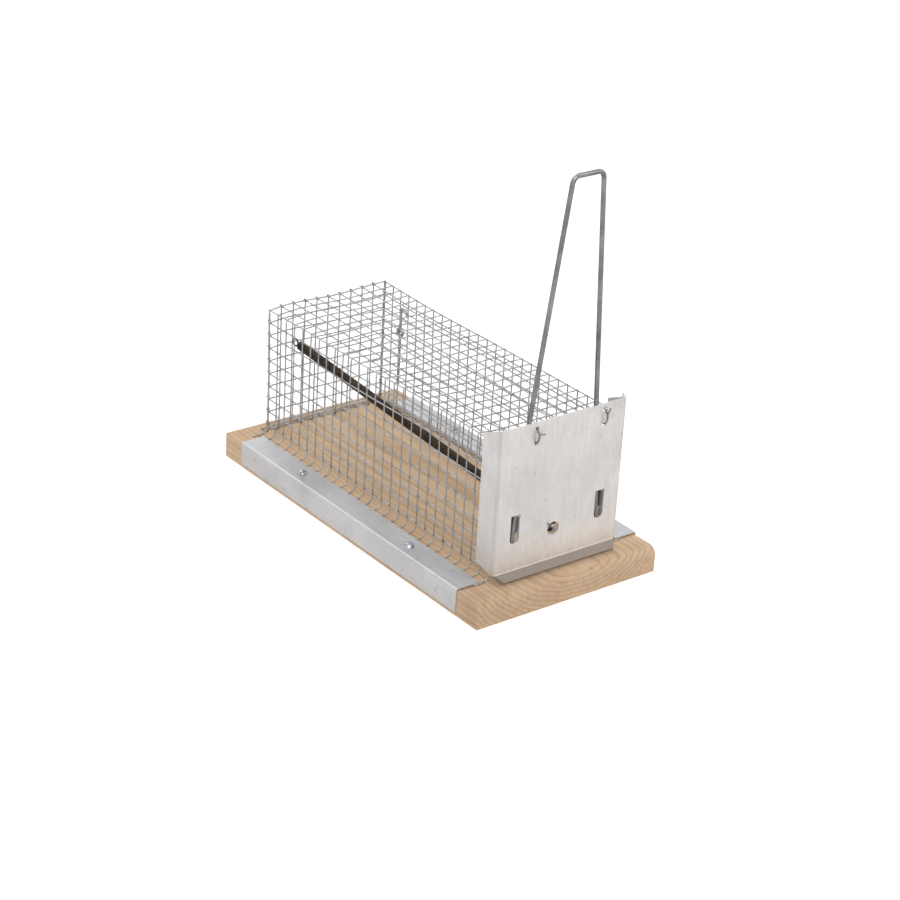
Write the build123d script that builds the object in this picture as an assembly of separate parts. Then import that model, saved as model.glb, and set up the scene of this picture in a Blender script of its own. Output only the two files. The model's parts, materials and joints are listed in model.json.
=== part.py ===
from build123d import *
import math
import os

os.makedirs("parts", exist_ok=True)

# Live catch mouse trap, closed. Millimetres, X to the right, door towards -Y, Z up,
# origin at the centre of the board's underside.

# wooden base
board_w = 96.0
board_l = 189.0
board_t = 11.5
board_round = 4.0

# welded square mesh
pitch = 6.35
wire = 0.7
cells_w = 10
cells_l = 26
cells_h = 9
mesh_bottom = board_t + 4.5
flange_tail = 4.65
cage_back_shift = 1.95

# sheet strips that hold the mesh down
sheet = 0.6
strip_side_gap = 0.05
strip_top_w = 11.75
strip_drop = 11.0
strip_l = 161.0
tack_pitch = 80.0
tack_head_r = 2.4
tack_head_h = 1.7
tack_shank_r = 1.0
tack_l = 9.0

# door sheet
door_gap = 0.5
door_below_mesh = 0.3
door_above_mesh = 7.8
door_flange = 11.2
flange_top_drop = 4.5
flange_low_rise = 2.3
lip_out = 3.9
lip_down = 2.6
lip_mitre = 3.7
ear_h = 2.6
hook_hole_r = 3.0
hook_hole_x = -2.0
hook_hole_up = 14.1
slot_x = 22.55
slot_w = 4.8
slot_h = 13.0
slot_up = 12.4
tab_reach = 2.85

# bail, rigid with the door
bail_d = 2.1
bail_clear = 0.05
bail_half_low = 22.9
bail_half_top = 7.7
bail_foot_up = 11.3
bail_top_above = 112.25
bail_lean = 4.0
bail_corner_r = 3.2

# tie rings of the door hinge
ring_wire = 0.9
ring_r = 3.6
ring_x = (-14.6, 21.6)
ring_fwd = 1.5
ring_up = 2.05
tie_hole_r = 1.1

# tension spring
coil_r = 2.15
coil_wire = 0.8
coil_bore_r = 0.72
spring_wall_cell = 2
spring_row = 6
end_ring_r = 1.7
hook_tip = 4.9
hook_shank = 26.0
coil_front_gap = 13.0
grip_in = 0.65
front_turns_l = 6.0

# trigger
trigger_x = 3.0
trigger_d = 1.3
trigger_cell = 8
catch_up = 11.6
catch_tip = 4.2
catch_drop = 2.2
eye_r = 1.65
eye_swell = 0.07
bait_down = 25.0

half_w = cells_w * pitch / 2
y_front = -(cells_l * pitch) / 2 + cage_back_shift
y_rear = y_front + cells_l * pitch
z_top = mesh_bottom + cells_h * pitch
hw = wire / 2


def save(shape, name):
    shape.label = name
    export_step(shape, f"parts/{name}.step")


def rect_wire(corner, along, up, a, b, c, d):
    """Closed rectangle from (a, c) to (b, d) in the plane of two directions."""
    return Wire.make_polygon(
        [corner + along * u + up * v for u, v in ((a, c), (b, c), (b, d), (a, d))],
        close=True,
    )


def grille(corner, along, up, through, us, vs):
    """Flat welded panel: bars centred on us and vs, one wire thick."""
    outer = rect_wire(corner, along, up, us[0] - hw, us[-1] + hw, vs[0] - hw, vs[-1] + hw)
    holes = [
        rect_wire(corner, along, up, u + hw, u2 - hw, v + hw, v2 - hw)
        for u, u2 in zip(us, us[1:])
        for v, v2 in zip(vs, vs[1:])
    ]
    return Solid.extrude(Face(outer, holes), through * wire)


def round_wire(points, radii, d):
    """Round bar of diameter d along a filleted polyline."""
    path = FilletPolyline(*points, radius=radii) if len(points) > 2 else Line(*points)
    start = Plane(origin=path @ 0, z_dir=path % 0)
    return sweep(start * Circle(d / 2), path=path)


ys = [y_front + j * pitch for j in range(cells_l + 1)]
zs = [mesh_bottom + k * pitch for k in range(cells_h + 1)]
xs = [-half_w + m * pitch for m in range(cells_w + 1)]
X, Y, Z = Vector(1, 0, 0), Vector(0, 1, 0), Vector(0, 0, 1)

# ---- board
board = Pos(0, 0, board_t / 2) * Box(board_w, board_l, board_t)
front_edges = board.edges().filter_by(Axis.X).group_by(Axis.Y)[0]
board = fillet(front_edges.sort_by(Axis.Z)[-1], board_round)
tack_x = board_w / 2 + strip_side_gap + sheet - strip_top_w / 2
tack_spots = {
    f"tack_{side}_{end}": (sx * tack_x, sy * tack_pitch / 2)
    for side, sx in (("left", -1), ("right", 1))
    for end, sy in (("front", -1), ("rear", 1))
}
strip_z = board_t + wire
for x, y in tack_spots.values():
    hole = Cylinder(tack_shank_r + 0.05, tack_l + 0.6)
    board -= Pos(x, y, strip_z + sheet - tack_l / 2 - 0.3) * hole
save(board, "base_board")

# ---- side strips and their tacks
x_in = board_w / 2 + strip_side_gap
x_out = x_in + sheet
strip_top = strip_z + sheet
profile = Polyline(
    (-x_out, 0, strip_top - strip_drop),
    (-x_out, 0, strip_top),
    (-x_out + strip_top_w, 0, strip_top),
    (-x_out + strip_top_w, 0, strip_z),
    (-x_in, 0, strip_z),
    (-x_in, 0, strip_top - strip_drop),
    close=True,
)
strip = extrude(make_face(profile), amount=strip_l / 2, both=True)
fold = Vector(-x_out, 0, strip_top)
fold_edges = strip.edges().filter_by(Axis.Y).sort_by(lambda e: (e.center() - fold).length)
strip = fillet(fold_edges[0], 0.8)
for side, s in (("left", 1), ("right", -1)):
    piece = strip if s == 1 else mirror(strip, about=Plane.YZ)
    for name, (x, y) in tack_spots.items():
        if side in name:
            piece -= Pos(x, y, strip_z) * Cylinder(tack_shank_r + 0.15, 4)
    save(piece, f"strip_{side}")

dome_r = (tack_head_r**2 + tack_head_h**2) / (2 * tack_head_h)
for name, (x, y) in tack_spots.items():
    head = Pos(x, y, strip_top + tack_head_h - dome_r) * Sphere(dome_r)
    head &= Pos(x, y, strip_top + 5) * Box(20, 20, 10)
    shank = Pos(x, y, strip_top - tack_l / 2 + 0.2) * Cylinder(tack_shank_r, tack_l + 0.4)
    save(head + shank, name)

# ---- mesh cage
save(grille(Vector(-half_w - hw, 0, 0), Y, Z, X, ys, zs), "mesh_left")
save(grille(Vector(half_w - hw, 0, 0), Y, Z, X, ys, zs), "mesh_right")
inner_xs = [-half_w + wire] + xs[1:-1] + [half_w - wire]
save(grille(Vector(0, 0, z_top - hw), X, Y, Z, inner_xs, ys), "mesh_top")
save(grille(Vector(0, y_rear + hw, 0), X, Z, Y, xs, [board_t + hw] + zs), "mesh_rear")

bend_z = mesh_bottom - hw
bend_mid_r = bend_z - board_t - hw
bend_x = -half_w - bend_mid_r
outer_r, inner_r = bend_mid_r + hw, bend_mid_r - hw
flange_out = bend_x - flange_tail


def bend_point(r, degrees):
    """Point on the bend, measured from level with its centre down to the board."""
    a = math.radians(degrees)
    return (bend_x + r * math.cos(a), 0, bend_z - r * math.sin(a))


section = [
    Line((flange_out, 0, board_t), (bend_x, 0, board_t)),
    ThreePointArc((bend_x, 0, board_t), bend_point(outer_r, 45), bend_point(outer_r, 0)),
    Line(bend_point(outer_r, 0), bend_point(inner_r, 0)),
    ThreePointArc(bend_point(inner_r, 0), bend_point(inner_r, 45), bend_point(inner_r, 90)),
    Line(bend_point(inner_r, 90), (flange_out, 0, board_t + wire)),
    Line((flange_out, 0, board_t + wire), (flange_out, 0, board_t)),
]
mid_y = (y_front + y_rear) / 2
flange = Pos(0, mid_y, 0) * extrude(make_face(section), amount=(y_rear - y_front) / 2 + hw, both=True)
tie_x = bend_x - 0.7
gaps = []
for y in ys[:-1]:
    for x0, x1 in ((flange_out - 1, tie_x - hw), (tie_x + hw, -half_w + 1)):
        gap = Box(x1 - x0, pitch - wire, 2 * (bend_z - board_t))
        gaps.append(Pos((x0 + x1) / 2, y + pitch / 2, board_t + 2) * gap)
flange -= gaps
save(flange, "mesh_flange_left")
save(mirror(flange, about=Plane.YZ), "mesh_flange_right")

# ---- door sheet
door_half = half_w + hw + door_gap + sheet
face_in = y_front - hw - 2.45
face_out = face_in - sheet
door_low = mesh_bottom - door_below_mesh
door_top = z_top + hw + door_above_mesh
flange_y = face_out + door_flange

tray = Pos(0, face_out + door_flange / 2, (door_low + door_top) / 2) * Box(
    2 * door_half, door_flange, door_top - door_low
)
tray -= Pos(0, face_in + door_flange / 2, (door_low + door_top) / 2) * Box(
    2 * (door_half - sheet), door_flange, door_top - door_low + 2
)
corners = tray.edges().filter_by(Axis.Z)
tray = fillet([e for e in corners if e.center().Y < face_out + 0.1], 0.9)
side_cut = Polyline(
    (0, face_out - 1, door_low),
    (0, face_out + 1.8, door_low),
    (0, flange_y, door_low + flange_low_rise),
    (0, flange_y, door_top - flange_top_drop),
    (0, face_in + 0.4, door_top),
    (0, face_out - 1, door_top),
    close=True,
)
tray &= extrude(make_face(side_cut), amount=door_half + 1, both=True)

fold_y, fold_z = (face_out + face_in) / 2, door_low + 0.05
lip_len = math.hypot(lip_out, lip_down)
ny, nz = lip_down / lip_len * sheet / 2, -lip_out / lip_len * sheet / 2
lip_line = Polyline(
    (0, fold_y + ny, fold_z + nz),
    (0, fold_y - lip_out + ny, fold_z - lip_down + nz),
    (0, fold_y - lip_out - ny, fold_z - lip_down - nz),
    (0, fold_y - ny, fold_z - nz),
    close=True,
)
lip = extrude(make_face(lip_line), amount=door_half, both=True)
lip += Pos(0, fold_y, fold_z) * Rot(0, 90, 0) * Cylinder(sheet / 2, 2 * door_half - 1.4)
plan = Polyline(
    (-door_half + 0.7, face_in + 0.5, 0),
    (-door_half + 0.7, face_out, 0),
    (-door_half + lip_mitre, face_out - lip_out, 0),
    (door_half - lip_mitre, face_out - lip_out, 0),
    (door_half - 0.7, face_out, 0),
    (door_half - 0.7, face_in + 0.5, 0),
    close=True,
)
lip &= Pos(0, 0, door_low - 10) * extrude(make_face(plan), amount=20)
ear = Polyline(
    (door_half - 0.9, face_out, door_top - 0.5),
    (door_half - 2.9, face_out, door_top - 0.5),
    (door_half - 2.2, face_out, door_top + ear_h),
    close=True,
)
door = tray + lip + extrude(make_face(ear), amount=sheet, dir=(0, 1, 0))

hook_hole_z = door_low + hook_hole_up
tie_rise = math.sqrt(ring_r**2 - (fold_y - y_front + ring_fwd) ** 2)
tie_z = [z_top + ring_up - tie_rise, z_top + ring_up + tie_rise]
through = [Pos(hook_hole_x, fold_y, hook_hole_z) * Rot(90, 0, 0) * Cylinder(hook_hole_r, 4)]
for x in ring_x:
    through += [Pos(x, fold_y, z) * Rot(90, 0, 0) * Cylinder(tie_hole_r, 4) for z in tie_z]
slot_mid_z = door_low + slot_up + slot_h / 2
for x in (-slot_x, slot_x):
    outline = Pos(x, 0, slot_mid_z) * Box(slot_w, 4, slot_h)
    outline = fillet(outline.edges().filter_by(Axis.Y).group_by(Axis.Z)[0], slot_w / 2 - 0.3)
    through.append(Pos(0, fold_y, 0) * outline)
door -= through
for x in (-slot_x, slot_x):
    edge = x + slot_w / 2
    tab_z = slot_mid_z + 1
    web = Pos(edge + 0.15, face_in + tab_reach / 2 - 0.15, tab_z) * Box(sheet, tab_reach + 0.3, slot_h - 5)
    curl = Pos(edge - 1.6, face_in + tab_reach - sheet / 2, tab_z) * Box(4.1, sheet, slot_h - 5)
    door += web + curl
save(door, "door_sheet")

# ---- bail
bail_y = face_in + bail_d / 2 + bail_clear
bail_top_z = z_top + bail_top_above
foot_z = door_low + bail_foot_up
bend_at = z_top + 6.4
span = bail_top_z - foot_z
at_bend = bail_half_low + (bail_half_top - bail_half_low) * (bend_at - foot_z) / span
bail_path = [
    (-bail_half_low, bail_y, foot_z),
    (-at_bend, bail_y, bend_at),
    (-bail_half_top, bail_y - bail_lean, bail_top_z),
    (bail_half_top, bail_y - bail_lean, bail_top_z),
    (at_bend, bail_y, bend_at),
    (bail_half_low, bail_y, foot_z),
]
bail = round_wire(bail_path, [25, bail_corner_r, bail_corner_r, 25], bail_d)
save(bail, "bail")

# ---- hinge tie rings
for side, x in zip(("left", "right"), ring_x):
    ring = Pos(x, y_front - ring_fwd, z_top + ring_up) * Rot(0, 90, 0) * Torus(ring_r, ring_wire / 2)
    save(ring, f"hinge_ring_{side}")

# ---- spring
anchor = Vector(
    xs[spring_wall_cell] + 1.15,
    y_rear + wire,
    mesh_bottom + spring_row * pitch,
)
grip = Vector(hook_hole_x, face_in + grip_in, hook_hole_z)
u = (grip - anchor).normalized()
length = (grip - anchor).length
ring_mid = anchor + u * 0.75
ring_plane = Plane(origin=ring_mid, z_dir=u.cross(Z).normalized())
tail_end = 0.75 + end_ring_r
tail_ring = ring_plane * Torus(end_ring_r, coil_wire / 2)
tail_rod = round_wire([anchor + u * (tail_end - 0.1), anchor + u * (tail_end + 6)], None, coil_wire)
save(tail_ring + tail_rod, "spring_rear_loop")


def tube(start, stop, outer, inner):
    place = Plane(origin=anchor + u * start, z_dir=u)
    return extrude(place * (Circle(outer) - Circle(inner)), amount=stop - start)


coil_start = tail_end + 0.45
coil_stop = length - coil_front_gap - front_turns_l
save(tube(coil_start, coil_stop, coil_r, coil_bore_r), "spring_coil")
save(tube(coil_stop, coil_stop + front_turns_l, coil_r, coil_bore_r), "spring_front_turns")

side_dir = Vector(-1, 0, 1).normalized()
hook_out = face_out - coil_wire / 2 - 0.15
corner_pt = grip + u * ((hook_out - grip.Y) / u.Y)
hook_path = [grip - u * hook_shank, corner_pt, corner_pt + side_dir * hook_tip]
save(round_wire(hook_path, 0.9, coil_wire), "spring_front_hook")

# ---- trigger
pivot = Vector(trigger_x, y_rear - trigger_cell * pitch, z_top)
eye = Pos(*pivot) * Rot(0, 90, 0) * Torus(eye_r, trigger_d / 2 + eye_swell)
catch = round_wire(
    [
        pivot + Z * (eye_r - 0.2),
        pivot + Z * catch_up,
        pivot + Z * catch_up - Y * catch_tip,
        pivot + Z * (catch_up - catch_drop) - Y * catch_tip,
    ],
    1.0,
    trigger_d,
)
bait = round_wire([pivot - Z * (eye_r - 0.2), pivot - Z * bait_down], None, trigger_d)
save(eye + catch + bait, "trigger_wire")
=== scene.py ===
import json
import math

import bpy
import numpy as np
from mathutils import Matrix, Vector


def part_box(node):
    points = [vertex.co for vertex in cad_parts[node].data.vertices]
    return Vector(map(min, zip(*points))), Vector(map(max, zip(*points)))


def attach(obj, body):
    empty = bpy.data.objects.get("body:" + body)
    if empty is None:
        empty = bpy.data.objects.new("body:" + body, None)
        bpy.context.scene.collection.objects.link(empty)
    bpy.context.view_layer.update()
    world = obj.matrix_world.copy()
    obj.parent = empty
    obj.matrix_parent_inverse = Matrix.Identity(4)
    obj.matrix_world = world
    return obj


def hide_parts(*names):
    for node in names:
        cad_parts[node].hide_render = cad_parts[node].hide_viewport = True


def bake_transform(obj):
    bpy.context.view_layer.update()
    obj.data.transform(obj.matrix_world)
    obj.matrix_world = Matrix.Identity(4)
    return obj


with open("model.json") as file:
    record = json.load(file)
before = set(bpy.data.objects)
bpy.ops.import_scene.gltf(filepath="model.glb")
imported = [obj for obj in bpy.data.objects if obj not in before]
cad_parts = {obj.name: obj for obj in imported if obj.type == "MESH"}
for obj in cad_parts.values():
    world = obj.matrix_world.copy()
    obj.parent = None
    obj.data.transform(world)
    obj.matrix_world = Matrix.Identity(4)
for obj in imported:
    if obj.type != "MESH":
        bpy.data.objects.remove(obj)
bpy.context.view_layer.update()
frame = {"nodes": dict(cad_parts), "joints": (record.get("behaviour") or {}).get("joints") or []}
nodes = frame["nodes"]
mm = 0.001
bpy.context.scene.view_settings.view_transform = "Standard"


camera = {
    "place": (-0.6081, -0.7711, 0.5039),
    "azimuth": -38.63,      # degrees from straight in front of the door, to its left
    "elevation": 25.73,
    "roll": 3.38,
    "lens": 99.31,
}


def addCamera(c):
    data = bpy.data.cameras.new("trapCamera")
    data.lens, data.sensor_width = c["lens"], 36
    data.clip_start, data.clip_end = 0.01, 50
    eye = bpy.data.objects.new("trapCamera", data)
    tilt, roll, azimuth = (math.radians(a) for a in (90 - c["elevation"], c["roll"], c["azimuth"]))
    turn = Matrix.Rotation(azimuth, 4, "Z") @ Matrix.Rotation(tilt, 4, "X") @ Matrix.Rotation(roll, 4, "Z")
    eye.matrix_world = Matrix.Translation(c["place"]) @ turn
    bpy.context.scene.collection.objects.link(eye)
    bpy.context.scene.camera = eye


addCamera(camera)
print("camera ready")


def newMaterial(name):
    mat = bpy.data.materials.new(name)
    mat.use_nodes = True
    tree = mat.node_tree
    shader = tree.nodes["Principled BSDF"]
    coords = tree.nodes.new("ShaderNodeTexCoord")
    return mat, tree, shader, coords.outputs["Object"]


def stretched(tree, source, scale):
    mapping = tree.nodes.new("ShaderNodeMapping")
    mapping.inputs["Scale"].default_value = scale
    tree.links.new(source, mapping.inputs["Vector"])
    return mapping.outputs["Vector"]


def noise(tree, source, scale, detail=4.0, rough=0.55, distort=0.0):
    node = tree.nodes.new("ShaderNodeTexNoise")
    node.inputs["Scale"].default_value = scale
    node.inputs["Detail"].default_value = detail
    node.inputs["Roughness"].default_value = rough
    node.inputs["Distortion"].default_value = distort
    tree.links.new(source, node.inputs["Vector"])
    return node.outputs["Fac"]


def ramp(tree, fac, stops):
    node = tree.nodes.new("ShaderNodeValToRGB")
    edge = node.color_ramp.elements
    edge[0].position, edge[0].color = stops[0][0], (*stops[0][1], 1)
    edge[1].position, edge[1].color = stops[-1][0], (*stops[-1][1], 1)
    for place, colour in stops[1:-1]:
        edge.new(place).color = (*colour, 1)
    tree.links.new(fac, node.inputs["Fac"])
    return node.outputs["Color"]


def blendColours(tree, kind, amount, a, b):
    node = tree.nodes.new("ShaderNodeMixRGB")
    node.blend_type = kind
    node.inputs["Fac"].default_value = amount
    tree.links.new(a, node.inputs["Color1"])
    tree.links.new(b, node.inputs["Color2"])
    return node.outputs["Color"]


def remap(tree, fac, low, high, start=0.3, stop=0.7):
    node = tree.nodes.new("ShaderNodeMapRange")
    for socket, value in (("From Min", start), ("From Max", stop), ("To Min", low), ("To Max", high)):
        node.inputs[socket].default_value = value
    tree.links.new(fac, node.inputs["Value"])
    return node.outputs["Result"]


def bump(tree, shader, height, distance, strength):
    node = tree.nodes.new("ShaderNodeBump")
    node.inputs["Distance"].default_value = distance
    node.inputs["Strength"].default_value = strength
    tree.links.new(height, node.inputs["Height"])
    tree.links.new(node.outputs["Normal"], shader.inputs["Normal"])


pine = {
    "light": (0.82, 0.61, 0.415),
    "mid": (0.73, 0.525, 0.34),
    "dark": (0.65, 0.455, 0.285),
    "ringSpacing": 2.1 * mm,
    "push": 5 * mm,                 # how far the slow noise moves a ring
    "heart": (8 * mm, 55 * mm),     # where the growth rings centre, across and above the board
}


def makePine(p):
    # ring number = distance from the heart line over the ring spacing, pushed about by a slow noise
    mat, tree, shader, coords = newMaterial("sandedPine")
    link = tree.links.new
    mapping = tree.nodes.new("ShaderNodeMapping")
    mapping.inputs["Location"].default_value = (-p["heart"][0], 0, -p["heart"][1])
    mapping.inputs["Rotation"].default_value = (math.radians(4), 0, math.radians(3))
    mapping.inputs["Scale"].default_value = (1, 0.03, 1)
    link(coords, mapping.inputs["Vector"])
    length = tree.nodes.new("ShaderNodeVectorMath")
    length.operation = "LENGTH"
    link(mapping.outputs["Vector"], length.inputs[0])
    wander = noise(tree, stretched(tree, coords, (1, 0.12, 1)), 34, 3, 0.5)
    push = tree.nodes.new("ShaderNodeMath")
    push.operation = "MULTIPLY_ADD"
    push.inputs[1].default_value = p["push"]
    link(wander, push.inputs[0])
    link(length.outputs["Value"], push.inputs[2])
    rings = tree.nodes.new("ShaderNodeMath")
    rings.operation = "DIVIDE"
    rings.inputs[1].default_value = p["ringSpacing"]
    link(push.outputs[0], rings.inputs[0])
    part = tree.nodes.new("ShaderNodeMath")
    part.operation = "FRACT"
    link(rings.outputs[0], part.inputs[0])
    grain = ramp(tree, part.outputs[0], [
        (0.0, p["light"]), (0.45, p["light"]), (0.82, p["mid"]), (0.94, p["dark"]), (1.0, p["light"])])
    fibre = noise(tree, stretched(tree, coords, (1, 0.02, 1)), 2600, 3, 0.6)
    fibreTone = ramp(tree, fibre, [(0.3, (0.80, 0.775, 0.75)), (0.7, (1.06, 1.06, 1.06))])
    colour = blendColours(tree, "MULTIPLY", 0.85, grain, fibreTone)
    streak = noise(tree, stretched(tree, coords, (1, 0.03, 1)), 520, 3, 0.55)
    streakTone = ramp(tree, streak, [
        (0.32, (0.86, 0.81, 0.76)), (0.5, (1.0, 1.0, 1.0)), (0.7, (1.04, 1.04, 1.03))])
    colour = blendColours(tree, "MULTIPLY", 0.8, colour, streakTone)
    patch = noise(tree, stretched(tree, coords, (1, 0.35, 1)), 30, 2, 0.5)
    patchTone = ramp(tree, patch, [(0.3, (0.90, 0.87, 0.84)), (0.7, (1.06, 1.06, 1.05))])
    link(blendColours(tree, "MULTIPLY", 0.8, colour, patchTone), shader.inputs["Base Color"])
    link(remap(tree, fibre, 0.58, 0.78), shader.inputs["Roughness"])
    shader.inputs["Specular IOR Level"].default_value = 0.3
    bump(tree, shader, fibre, 0.00006, 0.6)
    return mat


def makeSteel(name, low, high, roughness, grainScale, grainStretch, depth, metal, mottle, spots=None):
    # colour and gloss wander with a slow noise, and a stretched fine noise gives the rolling or drawing lines
    mat, tree, shader, coords = newMaterial(name)
    link = tree.links.new
    slow = noise(tree, coords, mottle, 5, 0.6, 0.4)
    colour = ramp(tree, slow, [(0.3, low), (0.7, high)])
    lines = noise(tree, stretched(tree, coords, grainStretch), grainScale, 3, 0.6)
    lineTone = ramp(tree, lines, [(0.3, (0.86, 0.86, 0.87)), (0.7, (1.0, 1.0, 1.0))])
    colour = blendColours(tree, "MULTIPLY", 0.7, colour, lineTone)
    if spots:
        speck = noise(tree, coords, spots["scale"], 2, 0.5)
        speckTone = ramp(tree, speck, [
            (spots["from"], (1.0, 1.0, 1.0)), (spots["from"] + 0.08, spots["colour"])])
        colour = blendColours(tree, "MULTIPLY", spots["amount"], colour, speckTone)
    link(colour, shader.inputs["Base Color"])
    shader.inputs["Metallic"].default_value = metal
    link(remap(tree, slow, roughness[0], roughness[1]), shader.inputs["Roughness"])
    bump(tree, shader, lines, depth, 0.7)
    return mat


steel = {
    "sheet": makeSteel(
        "galvanisedSheet", (0.74, 0.715, 0.70), (0.87, 0.845, 0.83), (0.36, 0.52), 700, (1, 1, 0.15),
        0.00001, 0.7, 45, {"scale": 420, "from": 0.66, "colour": (0.72, 0.70, 0.68), "amount": 0.5}),
    "strip": makeSteel(
        "galvanisedStrip", (0.64, 0.625, 0.625), (0.82, 0.805, 0.80), (0.34, 0.54), 900, (1, 0.04, 1),
        0.00003, 0.75, 45, {"scale": 380, "from": 0.64, "colour": (0.70, 0.68, 0.66), "amount": 0.6}),
    "mesh": makeSteel(
        "galvanisedMesh", (0.31, 0.31, 0.315), (0.60, 0.60, 0.605), (0.28, 0.48), 1800, (1, 1, 1),
        0.00005, 0.85, 260, {"scale": 900, "from": 0.6, "colour": (0.55, 0.55, 0.55), "amount": 0.7}),
    "wire": makeSteel(
        "drawnWire", (0.17, 0.17, 0.175), (0.38, 0.38, 0.385), (0.18, 0.32), 2400, (1, 1, 0.05),
        0.00002, 0.9, 120),
    "tie": makeSteel(
        "tieWire", (0.20, 0.20, 0.20), (0.46, 0.45, 0.44), (0.35, 0.55), 2400, (1, 1, 1), 0.00003, 0.9, 300),
    "spring": makeSteel(
        "oiledSpring", (0.016, 0.011, 0.007), (0.085, 0.060, 0.034), (0.20, 0.38), 1500, (1, 1, 1),
        0.00002, 0.6, 240),
    "tack": makeSteel(
        "tackSteel", (0.20, 0.21, 0.23), (0.62, 0.64, 0.68), (0.12, 0.24), 1500, (1, 1, 1),
        0.00001, 1.0, 300),
}
pineWood = makePine(pine)


def tintWhere(mat, share, tint):
    # multiplies the colour already on the shader by a tint, as far as share says
    tree = mat.node_tree
    shader = tree.nodes["Principled BSDF"]
    before = shader.inputs["Base Color"].links[0].from_socket
    mix = tree.nodes.new("ShaderNodeMixRGB")
    mix.blend_type = "MULTIPLY"
    mix.inputs["Color2"].default_value = (*tint, 1)
    tree.links.new(share, mix.inputs["Fac"])
    tree.links.new(before, mix.inputs["Color1"])
    tree.links.new(mix.outputs["Color"], shader.inputs["Base Color"])


door = {
    "lipPaintedReflection": (0.335, 0.32, 0.30),
    "lipHigh": 3.05 * mm,
    "footTint": (1.0, 0.94, 0.86),
    "footHigh": 20 * mm,
    "tabPaintedShade": (0.16, 0.15, 0.15),
    "tabHalf": 28 * mm,       # bent tabs lie nearer the middle than this, the flanges further out
    "foldPaintedShade": (0.86, 0.85, 0.86),
    "foldWide": 1.3 * mm,
}


def tintAndShadeDoor(d):
    # lip: below the fold, darkened as a painted reflection; foot: a warm tone that fades upwards; tabs:
    # painted shade on the curled metal behind the slots
    mat = steel["sheet"]
    tree = mat.node_tree
    low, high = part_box("door_sheet")
    place = tree.nodes.new("ShaderNodeTexCoord")
    split = tree.nodes.new("ShaderNodeSeparateXYZ")
    tree.links.new(place.outputs["Object"], split.inputs[0])
    foot = low.z + d["lipHigh"]
    tintWhere(mat, remap(tree, split.outputs["Z"], 1.0, 0.0, foot, foot + d["footHigh"]), d["footTint"])
    # painted reflection: the lip below the fold is darkened
    tintWhere(mat, remap(tree, split.outputs["Z"], 1.0, 0.0, foot - 0.4 * mm, foot), d["lipPaintedReflection"])
    # painted shade: the curled tab metal near the middle and deep behind the face is darkened
    away = tree.nodes.new("ShaderNodeMath")
    away.operation = "ABSOLUTE"
    tree.links.new(split.outputs["X"], away.inputs[0])
    near = remap(tree, away.outputs[0], 1.0, 0.0, d["tabHalf"], d["tabHalf"] + 0.5 * mm)
    faceBack = low.y + 4.4 * mm
    deep = remap(tree, split.outputs["Y"], 0.0, 1.0, faceBack + 1.4 * mm, faceBack + 2.2 * mm)
    tabShadeShare = tree.nodes.new("ShaderNodeMath")
    tabShadeShare.operation = "MULTIPLY"
    tree.links.new(near, tabShadeShare.inputs[0])
    tree.links.new(deep, tabShadeShare.inputs[1])
    tintWhere(mat, tabShadeShare.outputs[0], d["tabPaintedShade"])
    # fold: painted shade, a duller line down the face's two upright edges
    edge = remap(tree, away.outputs[0], 0.0, 1.0, high.x - d["foldWide"], high.x - 0.4 * mm)
    face = remap(tree, split.outputs["Y"], 1.0, 0.0, faceBack + 0.1 * mm, faceBack + 0.9 * mm)
    line = tree.nodes.new("ShaderNodeMath")
    line.operation = "MULTIPLY"
    tree.links.new(edge, line.inputs[0])
    tree.links.new(face, line.inputs[1])
    tintWhere(mat, line.outputs[0], d["foldPaintedShade"])


tintAndShadeDoor(door)


def shadeStripTops():
    # painted shade: the strips' flat tops are made duller and a little bluer than their sides
    mat = steel["strip"]
    tree = mat.node_tree
    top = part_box("strip_left")[1].z
    place = tree.nodes.new("ShaderNodeTexCoord")
    split = tree.nodes.new("ShaderNodeSeparateXYZ")
    tree.links.new(place.outputs["Object"], split.inputs[0])
    flat = remap(tree, split.outputs["Z"], 0.0, 1.0, top - 0.5 * mm, top - 0.1 * mm)
    tintWhere(mat, flat, (0.84, 0.855, 0.875))


shadeStripTops()


def shadeBoardFront():
    # painted shade: the board's front end is made a little darker and redder than the part under the cage
    tree = pineWood.node_tree
    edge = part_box("door_sheet")[0].y
    place = tree.nodes.new("ShaderNodeTexCoord")
    split = tree.nodes.new("ShaderNodeSeparateXYZ")
    tree.links.new(place.outputs["Object"], split.inputs[0])
    tintWhere(pineWood, remap(tree, split.outputs["Y"], 1.0, 0.0, edge, edge + 9 * mm), (0.84, 0.82, 0.83))


shadeBoardFront()


def dress(node, material):
    nodes[node].data.materials.clear()
    nodes[node].data.materials.append(material)


for name in nodes:
    kind = "sheet"
    if name.startswith("tack"):
        kind = "tack"
    elif name.startswith("mesh"):
        kind = "mesh"
    elif name.startswith("strip"):
        kind = "strip"
    elif name.startswith("spring"):
        kind = "spring"
    elif name == "bail":
        kind = "wire"
    elif name == "trigger_wire":
        kind = "mesh"
    elif name.startswith("hinge"):
        kind = "tie"
    dress(name, steel[kind])
dress("base_board", pineWood)
dress("spring_front_hook", steel["wire"])
print("materials ready")


def addPiece(name, points, faces, material, body, slot, replaced=(), smooth=True):
    mesh = bpy.data.meshes.new(name)
    mesh.from_pydata(points, [], faces)
    mesh.update()
    mesh.polygons.foreach_set("use_smooth", np.full(len(mesh.polygons), smooth))
    mesh.materials.append(material)
    piece = bpy.data.objects.new(name, mesh)
    bpy.context.scene.collection.objects.link(piece)
    if body:
        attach(piece, body)
    if replaced:
        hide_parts(*replaced)
    return piece


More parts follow.
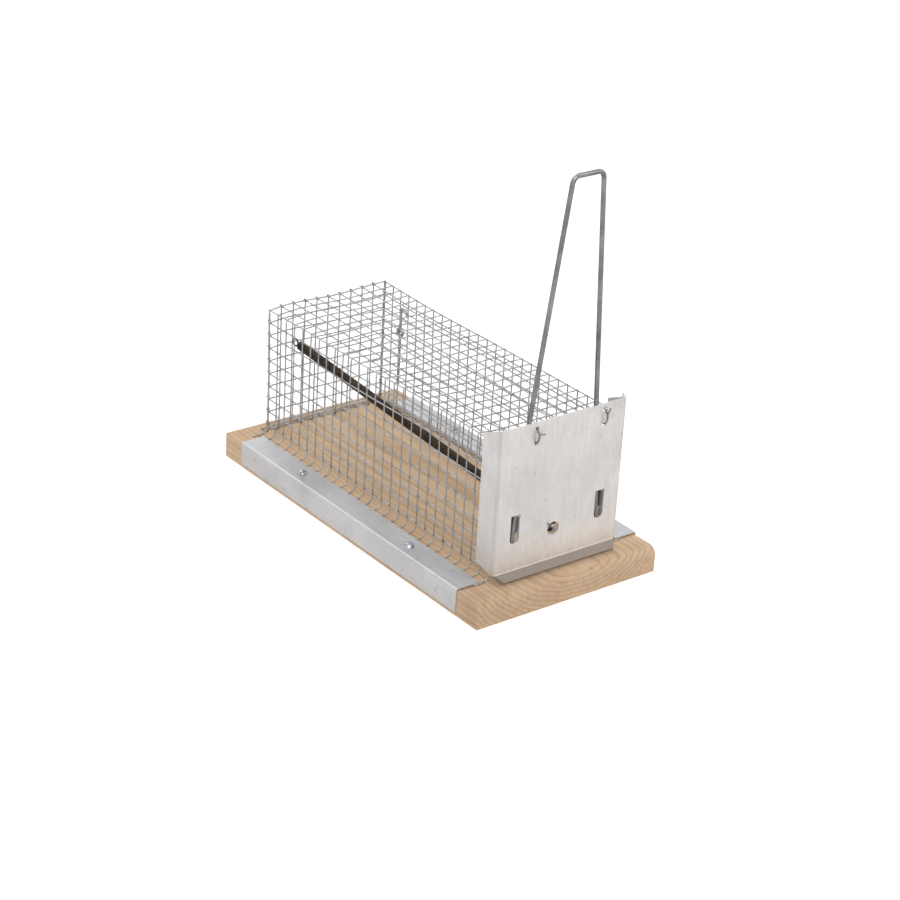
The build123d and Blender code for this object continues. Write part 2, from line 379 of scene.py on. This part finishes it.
def tubeAlong(path, radius, sides=8):
    # a circle carried along the path: each ring is the path point plus radius times cos and sin of two
    # directions square to the path, the first square to one fixed direction; flat end caps
    path = np.asarray(path, float)
    radius = np.broadcast_to(radius, len(path))
    ahead = np.gradient(path, axis=0)
    ahead /= np.linalg.norm(ahead, axis=1)[:, None]
    spread = np.abs(ahead).max(axis=0)
    fixed = np.eye(3)[np.argmin(spread)]
    side = np.cross(ahead, fixed)
    side /= np.linalg.norm(side, axis=1)[:, None]
    over = np.cross(ahead, side)
    angle = np.linspace(0, 2 * np.pi, sides, endpoint=False)
    rings = path[:, None] + radius[:, None, None] * (
        np.cos(angle)[None, :, None] * side[:, None] + np.sin(angle)[None, :, None] * over[:, None])
    count = len(path)
    i, j = np.meshgrid(np.arange(count - 1), np.arange(sides), indexing="ij")
    k = (j + 1) % sides
    quads = np.stack([i * sides + j, i * sides + k, (i + 1) * sides + k, (i + 1) * sides + j], -1)
    caps = [list(range(sides))[::-1], list(range((count - 1) * sides, count * sides))]
    return rings.reshape(-1, 3), quads.reshape(-1, 4).tolist() + caps


def joined(parts):
    points, faces, start = [], [], 0
    for p, f in parts:
        points.append(p)
        faces += [[v + start for v in face] for face in f]
        start += len(p)
    return np.concatenate(points), faces


mesh = {
    "wire": 0.7 * mm,
    "round": 0.31 * mm,     # radius of the drawn wire inside that thickness
    "pitch": 6.35 * mm,
    "step": 1.6 * mm,       # spacing of the rings along each wire
    "sag": 0.28 * mm,       # how far hand-bent panels wander from flat
    "nugget": 0.05 * mm,    # extra radius at each weld
    "edgeSpan": 11 * mm,    # how far in from the left top edge its bend reaches
    "edgeDip": -0.8 * mm,
    "edgeRise": 1.3 * mm,
}
rearLow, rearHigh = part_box("mesh_rear")
leftLow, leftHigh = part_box("mesh_left")
topLow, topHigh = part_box("mesh_top")
half = mesh["wire"] / 2
yFront, yRear = leftLow.y + half, leftHigh.y - half
zLow, zTop = leftLow.z + half, leftHigh.z - half
xSide = rearHigh.x - half
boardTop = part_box("base_board")[1].z


def wander(p):
    # slow waves over the cage, the same for every panel, so that the panels stay joined along their edges;
    # the left top edge dips at the rear and climbs towards the door
    x, y, z = p[:, 0], p[:, 1], p[:, 2]
    up = (z - zLow) / (zTop - zLow)
    hold = np.clip(up, 0, 1) * np.clip((y - yFront) / 0.03, 0, 1)
    out = p.copy()
    outwards = np.sign(x) * np.clip(np.abs(x) / xSide, 0, 1)
    out[:, 0] += hold * mesh["sag"] * 2.2 * np.sin(y * 61 + z * 20) * outwards
    nearLeft = np.clip(1 - (x + xSide) / mesh["edgeSpan"], 0, 1) ** 1.5 * np.clip(up, 0, 1) ** 2
    along = np.clip((yRear - y) / (yRear - yFront), 0, 1)
    out[:, 2] += nearLeft * (mesh["edgeDip"] + (mesh["edgeRise"] - mesh["edgeDip"]) * along)
    out[:, 2] += hold * mesh["sag"] * np.sin(x * 130 + y * 47) * 1.3
    out[:, 1] += mesh["sag"] * 1.2 * np.sin(x * 90 + z * 75) * np.clip(up, 0, 1)
    return out


def meshWire(start, stop, shift=(0, 0, 0)):
    # straight wire from start to stop, fattened by the weld nugget wherever a cross wire meets it
    start, stop = np.array(start, float) + shift, np.array(stop, float) + shift
    length = np.linalg.norm(stop - start)
    count = max(3, int(round(length / mesh["step"])) + 1)
    t = np.linspace(0, 1, count)
    phase = np.abs(((t * length / mesh["pitch"] + 0.5) % 1) - 0.5)
    radius = mesh["round"] + mesh["nugget"] * np.clip(1 - phase * 8, 0, 1)
    points, faces = tubeAlong(start + (stop - start) * t[:, None], radius, 7)
    return wander(points), faces


def grid(low, high):
    return np.linspace(low, high, int(round((high - low) / mesh["pitch"])) + 1)


ys, zs, xs = grid(yFront, yRear), grid(zLow, zTop), grid(-xSide, xSide)
over = 0.16 * mm     # cross wires lie this far to each side of the panel's middle


def sidePanel(name, x, outward):
    wires = [meshWire((x, y, zLow - half), (x, y, zTop), (outward * over, 0, 0)) for y in ys]
    wires += [meshWire((x, yFront - half, z), (x, yRear + half, z), (-outward * over, 0, 0)) for z in zs]
    points, faces = joined(wires)
    return addPiece(name + "Wires", points, faces, steel["mesh"], "cage", "galvanised_mesh", [name])


sidePanel("mesh_left", -xSide, -1)
sidePanel("mesh_right", xSide, 1)
topWires = [meshWire((-xSide, y, zTop), (xSide, y, zTop), (0, 0, over)) for y in ys]
topWires += [meshWire((x, yFront - half, zTop), (x, yRear + half, zTop), (0, 0, -over)) for x in xs[1:-1]]
addPiece("mesh_topWires", *joined(topWires), steel["mesh"], "cage", "galvanised_mesh", ["mesh_top"])
yBack = (rearLow.y + rearHigh.y) / 2
backWires = [meshWire((x, yBack, boardTop + half), (x, yBack, zTop + half)) for x in xs]
backWires += [meshWire((-xSide - half, yBack, z), (xSide + half, yBack, z), (0, -over, 0)) for z in zs]
addPiece("mesh_rearWires", *joined(backWires), steel["mesh"], "cage", "galvanised_mesh", ["mesh_rear"])


def flangeWires(node, sign):
    # each wire leaves the side panel, follows a quarter circle outwards and runs flat over the board
    low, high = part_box(node)
    reach = (high.x - low.x) - mesh["wire"]
    bend = zLow - half - boardTop - half
    parts = []
    turn = np.linspace(0, np.pi / 2, 7)
    steps = 110
    for y in ys:
        x = np.concatenate([bend * (1 - np.cos(turn)), [bend + 1.5 * mm, reach]])
        z = np.concatenate([boardTop + half + bend * (1 - np.sin(turn)), [boardTop + half] * 2])
        path = np.stack([sign * (xSide + x), np.full(len(x), y), z], 1)
        parts.append(tubeAlong(path, mesh["round"], 7))
    crossX = np.full(steps, sign * (xSide + bend + 0.7 * mm))
    along = np.linspace(yFront - half, yRear + half, steps)
    cross = np.stack([crossX, along, np.full(steps, boardTop + half)], 1)
    parts.append(tubeAlong(cross, mesh["round"], 7))
    points, faces = joined(parts)
    addPiece(node + "Wires", points, faces, steel["mesh"], "cage", "galvanised_mesh", [node])


flangeWires("mesh_flange_left", -1)
flangeWires("mesh_flange_right", 1)


def rearFoot():
    # the rear wall's wires turn outwards at the foot as a short flange with one cross wire, flat on the board
    bend, reach = 1.6 * mm, 4.6 * mm
    turn = np.linspace(0, np.pi / 2, 6)
    flat = boardTop + half
    parts = []
    for x in xs:
        y = yBack + 0.1 * mm + np.concatenate([bend * (1 - np.cos(turn)), [reach]])
        z = np.concatenate([flat + bend * (1 - np.sin(turn)), [flat]])
        parts.append(tubeAlong(np.stack([np.full(len(y), x), y, z], 1), mesh["round"], 7))
    steps = 40
    along = np.linspace(-xSide - 2 * half, xSide + 2 * half, steps)
    for out in (bend + 0.7 * mm, reach - 0.5 * mm):
        cross = np.stack([along, np.full(steps, yBack + out), np.full(steps, flat + 0.2 * mm)], 1)
        parts.append(tubeAlong(cross, mesh["round"], 7))
    points, faces = joined(parts)
    addPiece("rearFootWires", points, faces, steel["mesh"], "cage", "galvanised_mesh")


rearFoot()
wrap = {
    "radius": 0.66 * mm,
    "wire": 0.3 * mm,
    "steps": 13,
    "lean": 0.3 * mm,     # how far a wrap's ends lie to either side of its middle
    "lift": 1.1 * mm,     # how far above its cross wire an upright edge's wrap sits
}


def edgeWraps(w):
    # cut wire ends wound once round the rear edge wires: small rings about the top and upright edges
    turn = np.linspace(0, 2 * np.pi, w["steps"])
    slant = np.linspace(-w["lean"], w["lean"], w["steps"])
    around = np.stack([np.cos(turn), np.sin(turn)], 1) * w["radius"]
    parts = []
    for x in xs[1:-1]:
        path = np.stack([x + slant, yBack + around[:, 0], zTop + around[:, 1]], 1)
        parts.append(tubeAlong(path, w["wire"], 6))
    for z in zs[:-1]:
        for x in (-xSide, xSide):
            path = np.stack([x + around[:, 0], yBack + around[:, 1], z + w["lift"] + slant], 1)
            parts.append(tubeAlong(path, w["wire"], 6))
    points, faces = joined([(wander(p), f) for p, f in parts])
    addPiece("rearEdgeWraps", points, faces, steel["mesh"], "cage", "galvanised_mesh")


edgeWraps(wrap)
print("mesh wires ready")


joints = {j["name"]: j for j in frame["joints"]}
spring = {
    "wire": 0.8 * mm,
    "radius": 1.75 * mm,
    "turnsPerWire": 1.03,   # spacing of the turns over the wire's thickness
    "perTurn": 12,
    "start": 2.9 * mm,
    "frontGap": 13.0 * mm,
}
anchor = np.array(joints["spring_anchor"]["pos_m"])
grip = np.array(joints["spring_hook_turn"]["pos_m"])
springLength = np.linalg.norm(grip - anchor)
springWay = (grip - anchor) / springLength


def helixSpring(s):
    # centre line = anchor + way * travel + radius * (cos, sin) of the turn angle; the ends close in
    stop = springLength - s["frontGap"]
    turns = (stop - s["start"]) / (s["wire"] * s["turnsPerWire"])
    count = int(turns * s["perTurn"])
    t = np.linspace(0, 1, count)
    ends = np.minimum(t, 1 - t) * turns
    radius = s["radius"] * np.clip(0.35 + 0.65 * ends / 1.5, 0, 1)
    side = np.cross(springWay, (0, 0, 1))
    side /= np.linalg.norm(side)
    upper = np.cross(side, springWay)
    angle = 2 * np.pi * turns * t
    travel = s["start"] + (stop - s["start"]) * t
    path = anchor + springWay * travel[:, None]
    path = path + radius[:, None] * (np.cos(angle)[:, None] * side + np.sin(angle)[:, None] * upper)
    outward = path - (anchor + springWay * travel[:, None])
    outward /= np.linalg.norm(outward, axis=1)[:, None]
    ahead = np.gradient(path, axis=0)
    ahead /= np.linalg.norm(ahead, axis=1)[:, None]
    across = np.cross(ahead, outward)
    across /= np.linalg.norm(across, axis=1)[:, None]
    outward = np.cross(across, ahead)
    sides = 7
    around = np.linspace(0, 2 * np.pi, sides, endpoint=False)
    rings = path[:, None] + s["wire"] / 2 * (
        np.cos(around)[None, :, None] * outward[:, None] + np.sin(around)[None, :, None] * across[:, None])
    i, j = np.meshgrid(np.arange(count - 1), np.arange(sides), indexing="ij")
    k = (j + 1) % sides
    quads = np.stack([i * sides + j, (i + 1) * sides + j, (i + 1) * sides + k, i * sides + k], -1)
    caps = [list(range(sides)), list(range((count - 1) * sides, count * sides))[::-1]]
    piece = addPiece("springHelix", rings.reshape(-1, 3), quads.reshape(-1, 4).tolist() + caps,
                     steel["spring"], None, "black_spring_wire", ["spring_coil", "spring_front_turns"])
    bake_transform(piece)


helixSpring(spring)
hook = {
    "loopRadius": 1.65 * mm,
    "loopWire": 0.75 * mm,
    "endWire": 0.8 * mm,
    "endRadius": (0.85 * mm, 2.4 * mm),
    "endReach": (1.9 * mm, 0.2 * mm),
    "endTurns": 3.4,
}


def frontEnd(h):
    # end turns: a spiral whose radius grows while it comes forward along the spring's axis to the door's
    # hole. Partly the spring's real closing turns, partly painted shade: the spiral flares wider than the
    # coil so that its black fills the hole
    side = np.cross(springWay, (0, 0, 1))
    side /= np.linalg.norm(side)
    upper = np.cross(side, springWay)
    t = np.linspace(0, 1, 90)
    angle = 2 * np.pi * h["endTurns"] * t
    radius = h["endRadius"][0] + (h["endRadius"][1] - h["endRadius"][0]) * t
    back = h["endReach"][0] + (h["endReach"][1] - h["endReach"][0]) * t
    path = grip - springWay * back[:, None]
    path = path + radius[:, None] * (np.cos(angle)[:, None] * side + np.sin(angle)[:, None] * upper)
    points, faces = tubeAlong(path, h["endWire"] / 2, 8)
    addPiece("springEndTurns", points, faces, steel["spring"], "spring_hook", "black_spring_wire")
    # hook loop: two strands side by side, each a circle in the upright plane along the cage
    steps = 70
    t = np.linspace(0.35, 2 * np.pi - 0.5, steps)
    strands = []
    for offset in (-0.5, 0.5):
        circle = np.stack([np.full(steps, offset * h["loopWire"]), -np.cos(t) * h["loopRadius"],
                           np.sin(t) * h["loopRadius"]], 1)
        strands.append(tubeAlong(grip + circle * (1, -1, 1), h["loopWire"] / 2, 8))
    points, faces = joined(strands)
    addPiece("springHookLoop", points, faces, steel["tack"], "spring_hook", "bright_steel_wire")


frontEnd(hook)
print("spring ready")


tie = {
    "wire": 0.42 * mm,
    "strand": 0.26 * mm,
    "turns": 9,
    "tails": {"hinge_ring_left": (3.2, -0.3, -0.6), "hinge_ring_right": (1.4, -0.2, 2.8)},
}


def tieLoop(node):
    # two strands twisted round a ring: ring centre line plus strand offset turning many times round it
    low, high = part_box(node)
    middle = np.array((low + high) / 2)
    ringRadius = (high.z - low.z) / 2 - 0.45 * mm
    t = np.linspace(0, 2 * np.pi, 140)
    parts = []
    for phase in (0, np.pi):
        twist = t * tie["turns"] + phase
        reach = ringRadius + tie["strand"] * np.cos(twist)
        path = middle + np.stack([tie["strand"] * np.sin(twist), reach * np.cos(t), reach * np.sin(t)], 1)
        parts.append(tubeAlong(path[:-1], tie["wire"] / 2 + 0.04 * mm, 6))
    # the strands' cut ends leave the ring in front of the sheet as a short twisted tail
    s = np.linspace(0, 1, 30)
    for phase in (0, np.pi):
        twist = s * 8 + phase
        start = np.array([0, -ringRadius * 0.93, ringRadius * 0.35])
        way = np.array(tie["tails"][node]) * mm
        square = np.cross(way, (0, 1, 0))
        square /= np.linalg.norm(square)
        tail = middle + start + s[:, None] * way
        tail = tail + tie["strand"] * (np.cos(twist)[:, None] * square + np.sin(twist)[:, None] * (0, 1, 0))
        parts.append(tubeAlong(tail, tie["wire"] / 2, 6))
    points, faces = joined(parts)
    addPiece(node + "Strands", points, faces, steel["tie"], "door", "tie_wire", [node])


tieLoop("hinge_ring_left")
tieLoop("hinge_ring_right")
print("hinge ties ready")


studio = {"floorHalf": 6.0, "white": 0.93}


def addFloor(s):
    h = s["floorHalf"]
    data = bpy.data.meshes.new("floor")
    data.from_pydata([(-h, -h, 0), (h, -h, 0), (h, h, 0), (-h, h, 0)], [], [(0, 1, 2, 3)])
    mat = bpy.data.materials.new("paperFloor")
    mat.use_nodes = True
    tree = mat.node_tree
    shader = tree.nodes["Principled BSDF"]
    shader.inputs["Base Color"].default_value = (s["white"],) * 3 + (1,)
    shader.inputs["Roughness"].default_value = 0.9
    shader.inputs["Specular IOR Level"].default_value = 0.1
    shader.inputs["Emission Color"].default_value = (1, 1, 1, 1)
    rays = tree.nodes.new("ShaderNodeLightPath")
    lift = tree.nodes.new("ShaderNodeMath")
    lift.operation = "MULTIPLY"
    lift.inputs[1].default_value = 0.42
    tree.links.new(rays.outputs["Is Camera Ray"], lift.inputs[0])
    tree.links.new(lift.outputs[0], shader.inputs["Emission Strength"])
    data.materials.append(mat)
    floor = bpy.data.objects.new("floor", data)
    bpy.context.scene.collection.objects.link(floor)


def addWorld():
    world = bpy.data.worlds.new("paleStudio")
    bpy.context.scene.world = world
    world.use_nodes = True
    tree = world.node_tree
    back = tree.nodes["Background"]
    back.inputs["Color"].default_value = (1, 1, 1, 1)
    rays = tree.nodes.new("ShaderNodeLightPath")
    seen = tree.nodes.new("ShaderNodeMath")
    seen.operation = "MAXIMUM"
    tree.links.new(rays.outputs["Is Camera Ray"], seen.inputs[0])
    tree.links.new(rays.outputs["Is Glossy Ray"], seen.inputs[1])
    strength = tree.nodes.new("ShaderNodeMapRange")
    strength.inputs["To Min"].default_value = 0.55
    strength.inputs["To Max"].default_value = 1.0
    tree.links.new(seen.outputs[0], strength.inputs["Value"])
    tree.links.new(strength.outputs["Result"], back.inputs["Strength"])


def addLamp(name, place, size, power):
    data = bpy.data.lights.new(name, "AREA")
    data.shape, data.size, data.energy = "SQUARE", size, power
    lamp = bpy.data.objects.new(name, data)
    lamp.location = place
    way = -np.array(place) + (0, 0, 0.05)
    lamp.rotation_euler = (math.atan2(math.hypot(way[0], way[1]), -way[2]), 0, math.atan2(-way[0], way[1]))
    bpy.context.scene.collection.objects.link(lamp)


addFloor(studio)
addWorld()
addLamp("keySoftbox", (-0.9, -1.2, 1.6), 1.1, 13)
addLamp("fillSoftbox", (1.4, -0.9, 1.2), 1.2, 6)
addLamp("rearSoftbox", (0.1, 1.5, 1.4), 1.2, 6)
print("stage ready")
